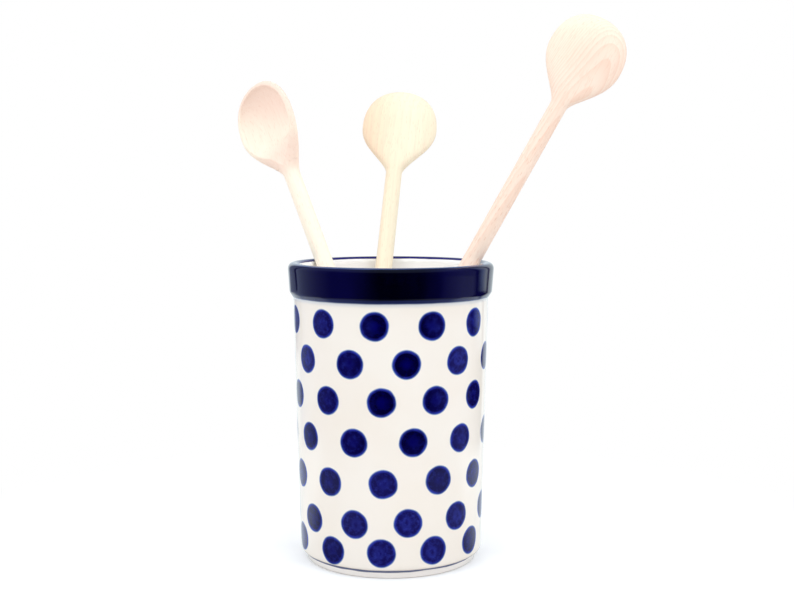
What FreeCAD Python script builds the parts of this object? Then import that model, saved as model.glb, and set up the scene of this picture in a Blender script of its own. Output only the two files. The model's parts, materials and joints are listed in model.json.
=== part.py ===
"""A stoneware utensil crock with three turned wooden spoons standing in it.

Millimetres, +Z up. The origin is the middle of the foot ring, on the surface that the crock
stands on, and -Y is the front. Azimuths are in degrees, counted from +X towards +Y.
"""
import FreeCAD, Part

import math
import os
from FreeCAD import Vector

# Crock: outside
CROCK_HEIGHT = 165.0
LIP_DIAMETER = 114.0
COLLAR_DEPTH = 19.3         # from the top of the lip down to the collar's lower edge
COLLAR_STEP = 2.95          # how far the lip stands out from the wall under the collar
COLLAR_DRAFT = 0.9          # how far the collar's side leans in on its way down
COLLAR_EDGE_RISE = 3.2      # height of the bevel under the collar
COLLAR_EDGE_ROUND = 3.0
COLLAR_ROOT_ROUND = 1.0     # where the bevel runs into the wall
WALL_TAPER = 3.45           # how much the wall's radius shrinks from the collar to the ground
WALL_FOOT_ROUND = 2.1
FOOT_HEIGHT = 4.5
FOOT_STEP = 2.3             # how far the foot ring is set back from the wall
FOOT_DRAFT = 1.2
FOOT_EDGE_ROUND = 0.8
FOOT_RING_WIDTH = 6.5
RECESS_HEIGHT = 2.2         # hollow under the base, inside the foot ring
RECESS_ROUND = 1.5

# Crock: inside
WALL_THICKNESS = 4.2
BASE_THICKNESS = 5.8
FLOOR_CORNER_ROUND = 4.0
LIP_CROWN_FLAT = 0.1        # what the two roundings of the lip leave between them

# Spoons: what all three share
HANDLE_DIAMETER = 10.2
HANDLE_TAPER = 0.5          # how much thinner the handle is at the neck
REST_CLEARANCE = 0.25       # between a spoon and the floor, the wall and the lip
HEAD_LIFT = 7.0             # how far the head's widest line stands in front of the handle's axis
HEAD_FRONT = 3.0            # crown of the face above that line
HEAD_BACK = 9.4             # bulge of the back below it
NECK_EARLINESS = 0.72       # 1 widens the neck evenly about its middle, less widens it sooner
TIP_FULLNESS = 2.25         # 2 is an ellipse, more is squarer
BOWL_WALL = 4.2             # wood left under the deepest point of the hollow
BOWL_RIM = 2.3              # width of the rim round the hollow
BOWL_START = 11.0           # from the end of the handle to the hollow's lower end
RIM_ROUND = 0.8             # on the edge between the rim and the hollow

NECK_SECTION_COUNT = 12     # sections that the head's loft is drawn through, up to its widest line
TIP_SECTION_COUNT = 9       # and from there to the tip
LOFT_DEGREE = 3
LEAN_TOLERANCE = 1e-6       # how closely a handle's lean is found

# Left spoon
LEFT_HANDLE_LENGTH = 234.6
LEFT_NECK_LENGTH = 33.2     # from the end of the handle to the widest line of the head
LEFT_TIP_LENGTH = 25.0      # from that line to the tip
LEFT_HEAD_WIDTH = 45.0
LEFT_FOOT_AZIMUTH = -59.6
LEFT_FOOT_INSET = 0.0       # from the wall, beyond the rest clearance
LEFT_LEAN_AZIMUTH = 135.2
LEFT_FACE_AZIMUTH = -130.0

# Middle spoon
MIDDLE_HANDLE_LENGTH = 231.7
MIDDLE_NECK_LENGTH = 34.0
MIDDLE_TIP_LENGTH = 25.7
MIDDLE_HEAD_WIDTH = 46.2
MIDDLE_FOOT_AZIMUTH = -123.0
MIDDLE_FOOT_INSET = 4.8
MIDDLE_LEAN_AZIMUTH = 78.0
MIDDLE_FACE_AZIMUTH = 86.0

# Right spoon
RIGHT_HANDLE_LENGTH = 276.9
RIGHT_NECK_LENGTH = 30.5
RIGHT_TIP_LENGTH = 23.1
RIGHT_HEAD_WIDTH = 43.6
RIGHT_FOOT_AZIMUTH = 160.0
RIGHT_FOOT_INSET = 0.0
RIGHT_LEAN_AZIMUTH = -4.8
RIGHT_FACE_AZIMUTH = 87.5

# Worked out from the sizes above
LIP_RADIUS = LIP_DIAMETER / 2
COLLAR_BOTTOM = CROCK_HEIGHT - COLLAR_DEPTH
FLOOR = RECESS_HEIGHT + BASE_THICKNESS
HANDLE_RADIUS = HANDLE_DIAMETER / 2
NECK_RADIUS = (HANDLE_DIAMETER - HANDLE_TAPER) / 2
UP = Vector(0, 0, 1)
ORIGIN = Vector(0, 0, 0)


def wall_radius(height):
    """Outside radius of the tapered wall at a height."""
    return LIP_RADIUS - COLLAR_STEP - WALL_TAPER * (1 - height / COLLAR_BOTTOM)


def inner_radius(height):
    """Inside radius of the wall at a height."""
    return wall_radius(height) - WALL_THICKNESS


def lip_round():
    """Radius of the lip's inner and outer rounding, which nearly meet on its crown."""
    return (LIP_RADIUS - inner_radius(CROCK_HEIGHT) - LIP_CROWN_FLAT) / 2


def rounded_face(corners):
    """Flat face in the XZ plane, from corners of (radius, height, rounding)."""
    points = [Vector(x, 0, z) for x, z, _ in corners]
    edges = []
    starts = []
    ends = []
    for i, corner in enumerate(points):
        rounding = corners[i][2]
        back = (points[i - 1] - corner).normalize()
        ahead = (points[(i + 1) % len(points)] - corner).normalize()
        half = back.getAngle(ahead) / 2
        reach = rounding / math.tan(half)
        starts.append(corner + back * reach)
        ends.append(corner + ahead * reach)
        if rounding > 0:
            inward = (back + ahead).normalize()
            nearest = corner + inward * (rounding / math.sin(half) - rounding)
            edges.append(Part.Arc(starts[i], nearest, ends[i]).toShape())
    for i, end in enumerate(ends):
        edges.append(Part.makeLine(end, starts[(i + 1) % len(starts)]))
    return Part.Face(Part.Wire(Part.__sortEdges__(edges)))


def make_crock():
    """The crock: one turned profile with a foot ring, a tapered wall and a rounded collar."""
    foot_top = wall_radius(FOOT_HEIGHT) - FOOT_STEP
    foot_bottom = foot_top - FOOT_DRAFT
    recess_edge = foot_bottom - FOOT_RING_WIDTH
    collar_side = COLLAR_DEPTH - COLLAR_EDGE_RISE - lip_round()
    lean_out = COLLAR_DRAFT * lip_round() / collar_side
    profile = rounded_face([
        (0, RECESS_HEIGHT, 0),
        (recess_edge - FOOT_DRAFT, RECESS_HEIGHT, RECESS_ROUND),
        (recess_edge, 0, FOOT_EDGE_ROUND),
        (foot_bottom, 0, FOOT_EDGE_ROUND),
        (foot_top, FOOT_HEIGHT, 0),
        (wall_radius(FOOT_HEIGHT), FOOT_HEIGHT, WALL_FOOT_ROUND),
        (wall_radius(COLLAR_BOTTOM), COLLAR_BOTTOM, COLLAR_ROOT_ROUND),
        (LIP_RADIUS - COLLAR_DRAFT, COLLAR_BOTTOM + COLLAR_EDGE_RISE, COLLAR_EDGE_ROUND),
        (LIP_RADIUS + lean_out, CROCK_HEIGHT, lip_round()),
        (inner_radius(CROCK_HEIGHT), CROCK_HEIGHT, lip_round()),
        (inner_radius(FLOOR), FLOOR, FLOOR_CORNER_ROUND),
        (0, FLOOR, 0),
    ])
    return profile.revolve(ORIGIN, UP, 360)


def section(half_width, front, back, centre, height):
    """Closed section across a spoon: a half ellipse of its face and one of its back."""
    middle = Vector(0, centre, height)
    across = Vector(half_width, 0, 0)
    face = Part.Ellipse(middle + across, middle + Vector(0, front, 0), middle)
    rear = Part.Ellipse(middle + across, middle + Vector(0, back, 0), middle)
    return Part.Wire([face.toShape(0, math.pi), rear.toShape(math.pi, 2 * math.pi)])


def oval(share):
    """Width at a share of the way from the widest line to the tip, of an oval of width 1."""
    return (1 - share ** TIP_FULLNESS) ** (1 / TIP_FULLNESS)


def ease(share):
    """Smooth step from 0 to 1."""
    return math.sin(share * math.pi / 2) ** 2


def steps(count):
    """Evenly spaced shares from 0 up to, but not including, 1."""
    return [i / count for i in range(count)]


def mix(start, end, share):
    """Value a share of the way from start to end."""
    return start + (end - start) * share


def make_handle(handle_length):
    """Tapered round handle with a domed end, up to the foot of the neck."""
    side = Vector(HANDLE_RADIUS, 0, HANDLE_RADIUS)
    on_dome = Vector(0, 0, HANDLE_RADIUS) + Vector(1, 0, -1).normalize() * HANDLE_RADIUS
    neck = Vector(NECK_RADIUS, 0, handle_length)
    top = Vector(0, 0, handle_length)
    outline = [
        Part.Arc(ORIGIN, on_dome, side).toShape(),
        Part.makeLine(side, neck),
        Part.makeLine(neck, top),
        Part.makeLine(top, ORIGIN),
    ]
    return Part.Face(Part.Wire(outline)).revolve(ORIGIN, UP, 360)


def make_head(handle_length, neck_length, tip_length, head_width):
    """Head of a spoon: the neck flares out of the round handle and closes in a full tip."""
    widest = handle_length + neck_length
    sections = []
    for share in steps(NECK_SECTION_COUNT):
        widen = ease(share ** NECK_EARLINESS)
        deepen = ease(share)
        sections.append(section(
            mix(NECK_RADIUS, head_width / 2, widen),
            mix(NECK_RADIUS, HEAD_FRONT, deepen),
            mix(NECK_RADIUS, HEAD_BACK, deepen),
            HEAD_LIFT * deepen,
            handle_length + neck_length * share,
        ))
    for turn in steps(TIP_SECTION_COUNT):
        share = math.sin(turn * math.pi / 2)
        size = oval(share)
        sections.append(section(
            head_width / 2 * size,
            HEAD_FRONT * size,
            HEAD_BACK * size,
            HEAD_LIFT,
            widest + tip_length * share,
        ))
    sections.append(Part.Vertex(0, HEAD_LIFT, widest + tip_length))
    return Part.makeLoft(sections, True, False, False, LOFT_DEGREE)


def make_hollow(handle_length, neck_length, tip_length, head_width):
    """What is carved out of the face: an egg with its narrow end at the neck."""
    widest = handle_length + neck_length
    low_run = neck_length - BOWL_START
    high_run = tip_length - BOWL_RIM
    half_width = head_width / 2 - BOWL_RIM
    level = HEAD_LIFT + HEAD_FRONT
    deepest = HEAD_FRONT + HEAD_BACK - BOWL_WALL
    sections = [Part.Vertex(0, level, widest - low_run)]
    for turn in steps(2 * TIP_SECTION_COUNT)[1:]:
        share = math.sin((2 * turn - 1) * math.pi / 2)
        size = oval(abs(share))
        run = low_run if share < 0 else high_run
        depth = deepest * size
        sections.append(section(half_width * size, depth, depth, level, widest + run * share))
    sections.append(Part.Vertex(0, level, widest + high_run))
    return Part.makeLoft(sections, True, False, False, LOFT_DEGREE)


def make_spoon(handle_length, neck_length, tip_length, head_width):
    """One spoon along +Z, with its foot at the origin and its hollow facing +Y."""
    handle = make_handle(handle_length)
    head = make_head(handle_length, neck_length, tip_length, head_width)
    hollow = make_hollow(handle_length, neck_length, tip_length, head_width)
    carved = handle.fuse(head).cut(hollow).removeSplitter()
    deepest = Part.Vertex(0, HEAD_LIFT - HEAD_BACK + BOWL_WALL, handle_length + neck_length)
    bowl = min(carved.Faces, key=lambda face: face.distToShape(deepest)[0])
    return carved.makeFillet(RIM_ROUND, bowl.Edges)


def compass(azimuth):
    """Level direction at an azimuth."""
    return Vector(math.cos(math.radians(azimuth)), math.sin(math.radians(azimuth)), 0)


def lean(foot, heading):
    """Direction of a handle that stands at foot, leans towards heading and rests on the lip."""
    height = CROCK_HEIGHT - lip_round()
    slant = math.hypot(1, WALL_TAPER / COLLAR_BOTTOM)
    radius = inner_radius(height) + lip_round() * slant
    lip = Part.makeCircle(radius, Vector(0, 0, height))
    contact = lip_round() + HANDLE_RADIUS + REST_CLEARANCE
    near = -foot.dot(heading)
    far = near + math.sqrt(radius ** 2 - foot.cross(heading).z ** 2)
    while far - near > LEAN_TOLERANCE:
        reach = (near + far) / 2
        aim = Vector(foot.x, foot.y, height) + heading * reach
        axis = (aim - foot).normalize()
        if Part.makeLine(foot, foot + axis * CROCK_HEIGHT * 2).distToShape(lip)[0] > contact:
            near = reach
        else:
            far = reach
    return axis


def stand(spoon, foot_azimuth, foot_inset, lean_azimuth, face_azimuth):
    """Stands a spoon in the crock.

    Its domed foot sits in the corner of the floor or a little off the wall, and its handle
    rests on the lip. Returns the placed spoon and the direction of its handle.
    """
    seat = HANDLE_RADIUS + REST_CLEARANCE
    height = FLOOR + seat
    foot = compass(foot_azimuth) * (inner_radius(height) - seat - foot_inset) + UP * height
    axis = lean(foot, compass(lean_azimuth))
    turn = FreeCAD.Rotation(Vector(0, 0, 0), compass(face_azimuth), axis, "ZYX")
    placed = spoon.copy()
    placed.Placement = FreeCAD.Placement(foot - axis * HANDLE_RADIUS, turn)
    return placed, axis


def main():
    """Builds the four pieces and writes each to its own file."""
    os.makedirs("parts", exist_ok=True)
    make_crock().exportStep("parts/crock.step")
    spoons = {
        "left_spoon": (
            make_spoon(LEFT_HANDLE_LENGTH, LEFT_NECK_LENGTH, LEFT_TIP_LENGTH, LEFT_HEAD_WIDTH),
            LEFT_FOOT_AZIMUTH, LEFT_FOOT_INSET, LEFT_LEAN_AZIMUTH, LEFT_FACE_AZIMUTH,
        ),
        "middle_spoon": (
            make_spoon(MIDDLE_HANDLE_LENGTH, MIDDLE_NECK_LENGTH, MIDDLE_TIP_LENGTH, MIDDLE_HEAD_WIDTH),
            MIDDLE_FOOT_AZIMUTH, MIDDLE_FOOT_INSET, MIDDLE_LEAN_AZIMUTH, MIDDLE_FACE_AZIMUTH,
        ),
        "right_spoon": (
            make_spoon(RIGHT_HANDLE_LENGTH, RIGHT_NECK_LENGTH, RIGHT_TIP_LENGTH, RIGHT_HEAD_WIDTH),
            RIGHT_FOOT_AZIMUTH, RIGHT_FOOT_INSET, RIGHT_LEAN_AZIMUTH, RIGHT_FACE_AZIMUTH,
        ),
    }
    for name, (spoon, *pose) in spoons.items():
        placed, axis = stand(spoon, *pose)
        placed.exportStep(f"parts/{name}.step")
        base = placed.Placement.Base
        print(name, "foot", [round(v, 3) for v in base], "axis", [round(v, 6) for v in axis])


main()
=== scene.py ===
"""Looks of a stoneware utensil crock with three beech spoons standing in it.

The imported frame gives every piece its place, in metres. The crock is turned again as a clean mesh that
carries its underglaze pattern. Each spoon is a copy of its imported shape, with a hollow that runs out in a
point on its neck, and with a wood of its own.
"""
from __future__ import annotations

import json
import logging
import math
import random
from collections.abc import Sequence
from dataclasses import dataclass
from enum import Enum, IntEnum
from typing import NamedTuple

import bmesh
import bpy
from mathutils import Matrix, Vector, noise

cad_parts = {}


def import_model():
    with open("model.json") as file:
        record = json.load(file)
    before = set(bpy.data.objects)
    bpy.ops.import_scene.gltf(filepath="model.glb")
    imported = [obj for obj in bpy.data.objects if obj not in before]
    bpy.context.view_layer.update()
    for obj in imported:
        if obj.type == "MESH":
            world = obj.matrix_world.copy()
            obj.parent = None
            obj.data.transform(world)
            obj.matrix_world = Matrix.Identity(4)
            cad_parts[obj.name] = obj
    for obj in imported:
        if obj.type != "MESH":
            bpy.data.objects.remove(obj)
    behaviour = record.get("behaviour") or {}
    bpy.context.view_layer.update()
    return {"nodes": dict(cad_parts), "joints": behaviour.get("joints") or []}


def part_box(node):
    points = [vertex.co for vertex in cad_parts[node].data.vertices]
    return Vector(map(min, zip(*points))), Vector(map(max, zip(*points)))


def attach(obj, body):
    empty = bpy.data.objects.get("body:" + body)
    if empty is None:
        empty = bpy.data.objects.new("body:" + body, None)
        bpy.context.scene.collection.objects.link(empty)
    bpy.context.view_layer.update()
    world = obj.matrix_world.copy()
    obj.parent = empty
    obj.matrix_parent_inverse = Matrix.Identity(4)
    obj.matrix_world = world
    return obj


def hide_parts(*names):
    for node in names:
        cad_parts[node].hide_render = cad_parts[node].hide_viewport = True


LOG = logging.getLogger("crock")
FULL_TURN = 2 * math.pi
MERGE_DISTANCE = 1e-6
CUT_TOLERANCE = 1e-7
MIX_SHARE, MIX_FIRST, MIX_SECOND, MIX_RESULT = 0, 6, 7, 2    # the Mix node's sockets for colours
SHARP_ANGLE = math.radians(40)

Colour = tuple[float, float, float, float]
Span = tuple[float, float]
Socket = bpy.types.NodeSocket
Feed = float | Sequence[float] | Socket
Feeds = dict[str | int, Feed]


class Noise(NamedTuple):
    """A soft noise, with features about 1/scale long."""

    scale: float
    detail: float
    roughness: float = 0.5


class Relief(NamedTuple):
    """Small relief of a surface: its height and how much of it shows."""

    height: float
    strength: float


def tone(red: int, green: int, blue: int) -> Colour:
    """Turns an sRGB colour, as a screen shows it, into the linear one that a shader takes.

    Args:
        red: Red from 0 to 255.
        green: Green from 0 to 255.
        blue: Blue from 0 to 255.

    Returns:
        The linear colour with full alpha.
    """
    shares = [channel / 255 for channel in (red, green, blue)]
    linear = [s / 12.92 if s <= 0.04045 else ((s + 0.055) / 1.055) ** 2.4 for s in shares]
    return (linear[0], linear[1], linear[2], 1.0)


def grey(level: float) -> Colour:
    """Returns a linear grey of that level."""
    return (level, level, level, 1.0)


def shifted(span: Span, way: float) -> Span:
    """Returns a span moved along by a way."""
    return (way + span[0], way + span[1])


def piece_from(bm: bmesh.types.BMesh, name: str, finish: bpy.types.Material) -> bpy.types.Object:
    """Puts a finished mesh into the scene.

    Args:
        bm: The mesh, which is used up.
        name: The piece's name.
        finish: Its material.

    Returns:
        The new piece.
    """
    mesh = bpy.data.meshes.new(name)
    bm.to_mesh(mesh)
    bm.free()
    mesh.set_sharp_from_angle(angle=SHARP_ANGLE)
    mesh.materials.append(finish)
    piece = bpy.data.objects.new(name, mesh)
    bpy.context.scene.collection.objects.link(piece)
    return piece


class NodeBoard:
    """Adds nodes to one material or world and joins them."""

    def __init__(self, owner: bpy.types.Material | bpy.types.World) -> None:
        """Starts with an empty node tree.

        Args:
            owner: The material or world whose nodes are made here.
        """
        owner.use_nodes = True
        self.tree: bpy.types.NodeTree = owner.node_tree
        self.tree.nodes.clear()

    def feed(self, socket: Socket, value: Feed) -> None:
        """Links a socket to another one, or sets its value.

        Args:
            socket: The input that is fed.
            value: An output to link, or a plain value.
        """
        if isinstance(value, bpy.types.NodeSocket):
            self.tree.links.new(value, socket)
        else:
            socket.default_value = value

    def add(self, kind: str, feeds: Feeds | None = None, **settings: object) -> bpy.types.Node:
        """Adds one node.

        Args:
            kind: The node's type, without the words ShaderNode.
            feeds: What goes into its inputs, by name or number.
            settings: The node's own properties.

        Returns:
            The new node.
        """
        node = self.tree.nodes.new("ShaderNode" + kind)
        for name, setting in settings.items():
            setattr(node, name, setting)
        for key, value in (feeds or {}).items():
            self.feed(node.inputs[key], value)
        return node

    def math(self, operation: str, first: Feed, second: Feed = 0.0) -> Socket:
        """Returns the result of one sum on two values."""
        return self.add("Math", {0: first, 1: second}, operation=operation).outputs[0]

    def step(self, value: Feed, low: float, high: float, bottom: float = 0.0, top: float = 1.0) -> Socket:
        """Eases a value from one level to another between two limits.

        Args:
            value: What is compared with the limits.
            low: Where the easing starts.
            high: Where it ends.
            bottom: The level at and below low.
            top: The level at and above high.

        Returns:
            The eased level.
        """
        feeds = {"Value": value, "From Min": low, "From Max": high, "To Min": bottom, "To Max": top}
        return self.add("MapRange", feeds, interpolation_type="SMOOTHSTEP").outputs["Result"]

    def fall(self, value: Feed, low: float, high: float) -> Socket:
        """Returns a level that eases from 1 to 0 between two limits."""
        return self.step(value, low, high, 1.0, 0.0)

    def between(self, value: Feed, rise: Span, drop: Span) -> Socket:
        """Returns a level that eases up to 1 over one span and back to 0 over another."""
        return self.math("MULTIPLY", self.step(value, *rise), self.fall(value, *drop))

    def mix(self, share: Feed, first: Feed, second: Feed) -> Socket:
        """Returns the first colour with a share of the second laid over it."""
        feeds: Feeds = {MIX_SHARE: share, MIX_FIRST: first, MIX_SECOND: second}
        return self.add("Mix", feeds, data_type="RGBA").outputs[MIX_RESULT]

    def ramp(self, share: Feed, stops: Sequence[tuple[float, Colour]]) -> Socket:
        """Runs a value through a row of colours.

        Args:
            share: Where along the row to look, from 0 to 1.
            stops: The colours and their places, in rising order.

        Returns:
            The colour at that place.
        """
        node = self.add("ValToRGB", {"Fac": share})
        node.color_ramp.interpolation = "LINEAR"
        elements = node.color_ramp.elements
        for extra in stops[2:]:
            elements.new(extra[0])
        for element, (place, colour) in zip(elements, stops):
            element.position = place
            element.color = colour
        return node.outputs["Color"]

    def noise(self, vector: Feed, kind: Noise) -> Socket:
        """Returns a soft noise from 0 to 1."""
        feeds = {"Vector": vector, "Scale": kind.scale, "Detail": kind.detail, "Roughness": kind.roughness}
        return self.add("TexNoise", feeds, noise_dimensions="3D").outputs[0]

    def ragged(self, value: Feed, vector: Feed, kind: Noise, depth: float) -> Socket:
        """Makes a value uneven from place to place.

        Args:
            value: The even value.
            vector: The place.
            kind: The noise that the value follows.
            depth: The whole width of the unevenness.

        Returns:
            The uneven value.
        """
        uneven = self.math("SUBTRACT", self.noise(vector, kind), 0.5)
        return self.math("ADD", value, self.math("MULTIPLY", uneven, depth))

    def squeeze(self, vector: Feed, share: float) -> Socket:
        """Returns a vector with its Z part scaled, which draws out a pattern or leaves the vector flat."""
        return self.add("VectorMath", {0: vector, 1: (1.0, 1.0, share)}, operation="MULTIPLY").outputs[0]

    def part(self, vector: Feed, axis: str) -> Socket:
        """Returns one part of a vector: X, Y or Z."""
        return self.add("SeparateXYZ", {0: vector}).outputs[axis]

    def length(self, vector: Feed) -> Socket:
        """Returns the length of a vector."""
        return self.add("VectorMath", {0: vector}, operation="LENGTH").outputs["Value"]

    def bump(self, level: Feed, relief: Relief, normal: Socket | None = None) -> Socket:
        """Makes small relief out of a pattern.

        Args:
            level: The pattern, from 0 to 1.
            relief: What a level of 1 measures, and how much of it shows.
            normal: The relief that this one lies on, if any.

        Returns:
            The bent normal.
        """
        feeds: Feeds = {"Height": level, "Distance": relief.height, "Strength": relief.strength}
        if normal is not None:
            feeds["Normal"] = normal
        return self.add("Bump", feeds).outputs["Normal"]

    def surface(self, feeds: Feeds) -> None:
        """Ends a material in one Principled shader with these inputs."""
        shader = self.add("BsdfPrincipled", feeds)
        self.add("OutputMaterial", {"Surface": shader.outputs["BSDF"]})


class Layer(Enum):
    """Names of the mesh layers that the crock's glaze reads."""

    RUN = "run"        # way along the profile from the crest of the lip, outwards positive
    STAMP = "stamp"    # place relative to the nearest dot, and that dot's own number


class GlazeMarks(NamedTuple):
    """Ways along the profile from the crest of the lip to the places where the glaze changes."""

    collar_end: float
    line: float
    foot_start: float
    foot_end: float


@dataclass(frozen=True)
class CrockGlaze:
    """Clear glaze over cream clay, a brushed collar, stamped dots and a line above the foot.

    A span is where a change starts and ends: on a dot in shares of its radius, on the collar in metres along
    the profile, from the crest of the lip or from the collar's end, and on a noise in its own levels. The two
    stops of the crest's paler colour, partly thin glaze and partly a painted highlight, are those at the left
    and at the right.
    """

    name: str = "crock_glaze"
    gloss: float = 0.06
    refraction: float = 1.5
    waves: Noise = Noise(95.0, 1.0)
    waves_relief: Relief = Relief(0.00035, 0.12)
    pits: Noise = Noise(900.0, 2.0)
    pits_relief: Relief = Relief(0.00004, 0.10)

    cream: Colour = tone(241, 239, 234)
    cream_warm: Colour = tone(239, 235, 228)
    # whiter inside and foot: partly the inside's own glaze, partly painted light against the shade there
    inside_white_and_painted_light: Colour = tone(254, 254, 253)
    drift: Noise = Noise(22.0, 3.0)
    drift_span: Span = (0.35, 0.75)
    white_edge: float = 0.001

    dot_deep: Colour = tone(1, 0, 44)
    dot_bright: Colour = tone(2, 1, 82)
    # paler dot colour: on the lower rows, and as painted sheen beside the crock's front
    dot_pale_and_painted_sheen: Colour = tone(15, 12, 90)
    dot_rim: Colour = tone(42, 52, 160)
    dot_haze: Colour = tone(92, 130, 188)
    dot_radius: float = 0.0077
    dot_edge: Noise = Noise(130.0, 1.0)
    dot_wobble: float = 0.0008
    dot_middle_span: Span = (0.10, 0.50)
    dot_rim_span: Span = (0.76, 0.93)
    dot_haze_span: Span = (0.92, 1.0)
    dot_end_span: Span = (0.97, 1.06)
    rim_breaks: Noise = Noise(210.0, 1.0)
    rim_breaks_span: Span = (0.35, 0.65)
    rim_least: float = 0.45
    mottle: Noise = Noise(420.0, 3.0, 0.6)
    mottle_span: Span = (0.42, 0.74)
    mottle_most: float = 0.5
    pale_heights: Span = (0.045, 0.085)
    pale_levels: Span = (0.5, 0.9)
    # the front's middle, and where the painted sheen beside it starts and ends
    front_middle: float = 0.004
    painted_sheen_span: Span = (0.008, 0.030)

    swirl_off: float = 0.0010
    swirl_turns: int = 5
    swirl_edge: Noise = Noise(260.0, 2.0)
    swirl_wobble: float = 0.55
    swirl_rise: Span = (0.02, 0.26)
    swirl_drop: Span = (0.28, 0.58)
    swirl_levels: Span = (0.08, 0.40)

    line_blue: Colour = tone(104, 116, 150)
    line_edge: Noise = Noise(60.0, 2.0)
    line_above: float = 0.0023
    line_below: float = 0.0014
    line_core: float = 0.6

    navy: Colour = tone(0, 0, 10)
    # lighter navy: the brush streaks, and painted sheen beside the front
    navy_streak_and_painted_sheen: Colour = tone(7, 6, 56)
    collar_thin: Colour = tone(26, 36, 86)
    collar_edge: Colour = tone(78, 96, 140)
    collar_haze: Colour = tone(196, 207, 220)
    # paler blue on the crest: partly thin glaze, partly a painted highlight that reaches further down on the
    # left
    crest_break_and_painted_highlight: Colour = tone(64, 78, 120)
    lip_blue: Colour = tone(20, 16, 100)
    collar_brush: Noise = Noise(70.0, 2.0)
    collar_wobble: float = 0.0006
    collar_inside_span: Span = (-0.0035, -0.0029)
    collar_end_span: Span = (-0.0011, -0.0003)
    collar_thin_span: Span = (-0.0038, -0.0024)
    collar_thin_most: float = 0.8
    collar_edge_span: Span = (-0.0016, -0.0008)
    collar_haze_span: Span = (-0.0006, 0.0020)
    collar_haze_most: float = 0.7
    # how far the painted sheen lightens the collar beside the front
    collar_painted_sheen_most: float = 0.85
    streaks: Noise = Noise(130.0, 4.0, 0.6)
    streaks_drawn: float = 0.35
    streaks_span: Span = (0.4, 0.75)
    streaks_most: float = 0.15
    lip_span: Span = (-0.0012, -0.0004)
    crest_span: Span = (-0.0004, 0.0002)
    crest_stops: Span = (0.0026, 0.0021)
    crest_fade: float = 0.0010
    crest_sides: Span = (-0.02, 0.03)

    clay: Colour = tone(205, 196, 181)
    clay_roughness: float = 0.75
    clay_edge_span: Span = (-0.0006, 0.0006)

    def material(self, marks: GlazeMarks) -> bpy.types.Material:
        """Makes the glaze.

        Args:
            marks: Where along the profile the glaze changes.

        Returns:
            The material.
        """
        made = bpy.data.materials.new(self.name)
        board = NodeBoard(made)
        place = board.add("TexCoord").outputs["Object"]
        run = board.add("Attribute", attribute_name=Layer.RUN.value).outputs["Fac"]
        colour = self._body(board, place, run, marks.line)
        colour = self._dots(board, colour, place)
        colour = self._line(board, colour, place, run, marks.line)
        colour = self._collar(board, colour, place, run, marks.collar_end)
        edge = self.clay_edge_span
        bare = board.between(run, shifted(edge, marks.foot_start), shifted(edge, marks.foot_end))
        colour = board.mix(bare, colour, self.clay)
        roughness = board.step(bare, 0.0, 1.0, self.gloss, self.clay_roughness)
        relief = board.bump(board.noise(place, self.waves), self.waves_relief)
        relief = board.bump(board.noise(place, self.pits), self.pits_relief, relief)
        board.surface({
            "Base Color": colour, "Roughness": roughness, "IOR": self.refraction, "Normal": relief,
        })
        return made

    def _body(self, board: NodeBoard, place: Socket, run: Socket, line: float) -> Socket:
        """Paints the cream body, which varies a little, with a whiter inside and foot: partly the inside's
        own glaze, and painted light that lifts the shade inside the crock and under the wall at the foot.

        Args:
            board: The glaze's nodes.
            place: The place on the crock.
            run: The way along the profile.
            line: Where the foot starts.

        Returns:
            The body's colour.
        """
        drift = board.step(board.noise(place, self.drift), *self.drift_span)
        cream = board.mix(drift, self.cream, self.cream_warm)
        inside = board.fall(run, -self.white_edge, 0.0)
        foot = board.step(run, line, line + self.white_edge)
        # painted light: the inside and the foot are whitened where shade falls
        return board.mix(board.math("MAXIMUM", inside, foot), cream, self.inside_white_and_painted_light)

    def _dots(self, board: NodeBoard, colour: Socket, place: Socket) -> Socket:
        """Paints sponge-stamped dots with a mottled middle and a brighter edge, paler on the lower rows and
        with a painted sheen beside the crock's front.

        Args:
            board: The glaze's nodes.
            colour: The colour that the dots lie on.
            place: The place on the crock.

        Returns:
            The colour with the dots on it.
        """
        stamp = board.add("Attribute", attribute_name=Layer.STAMP.value).outputs["Vector"]
        number = board.part(stamp, "Z")
        reach = board.length(board.squeeze(stamp, 0.0))
        reach = board.ragged(reach, stamp, self.dot_edge, self.dot_wobble)
        share = board.math("DIVIDE", reach, self.dot_radius)
        # paler on the lower rows, and painted sheen beside the front, where the curved wall catches grazing
        # light
        low = board.fall(board.part(place, "Z"), *self.pale_heights)
        thin = board.math("MAXIMUM", self._painted_sheen_share(board, place), low)
        thin = board.math("MULTIPLY", thin, board.step(number, 0.0, 1.0, *self.pale_levels))
        paint = board.mix(board.step(share, *self.dot_middle_span), self.dot_bright, self.dot_deep)
        paint = board.mix(thin, paint, self.dot_pale_and_painted_sheen)
        fresh = board.mix(thin, self.dot_bright, self.dot_rim)
        paint = board.mix(self._swirl(board, stamp, number), paint, fresh)
        mottle = board.step(board.noise(stamp, self.mottle), *self.mottle_span, 0.0, self.mottle_most)
        paint = board.mix(mottle, paint, fresh)
        broken = board.step(board.noise(stamp, self.rim_breaks), *self.rim_breaks_span, self.rim_least)
        rim = board.math("MULTIPLY", board.step(share, *self.dot_rim_span), broken)
        paint = board.mix(rim, paint, self.dot_rim)
        paint = board.mix(board.step(share, *self.dot_haze_span), paint, self.dot_haze)
        return board.mix(board.fall(share, *self.dot_end_span), colour, paint)

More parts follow.
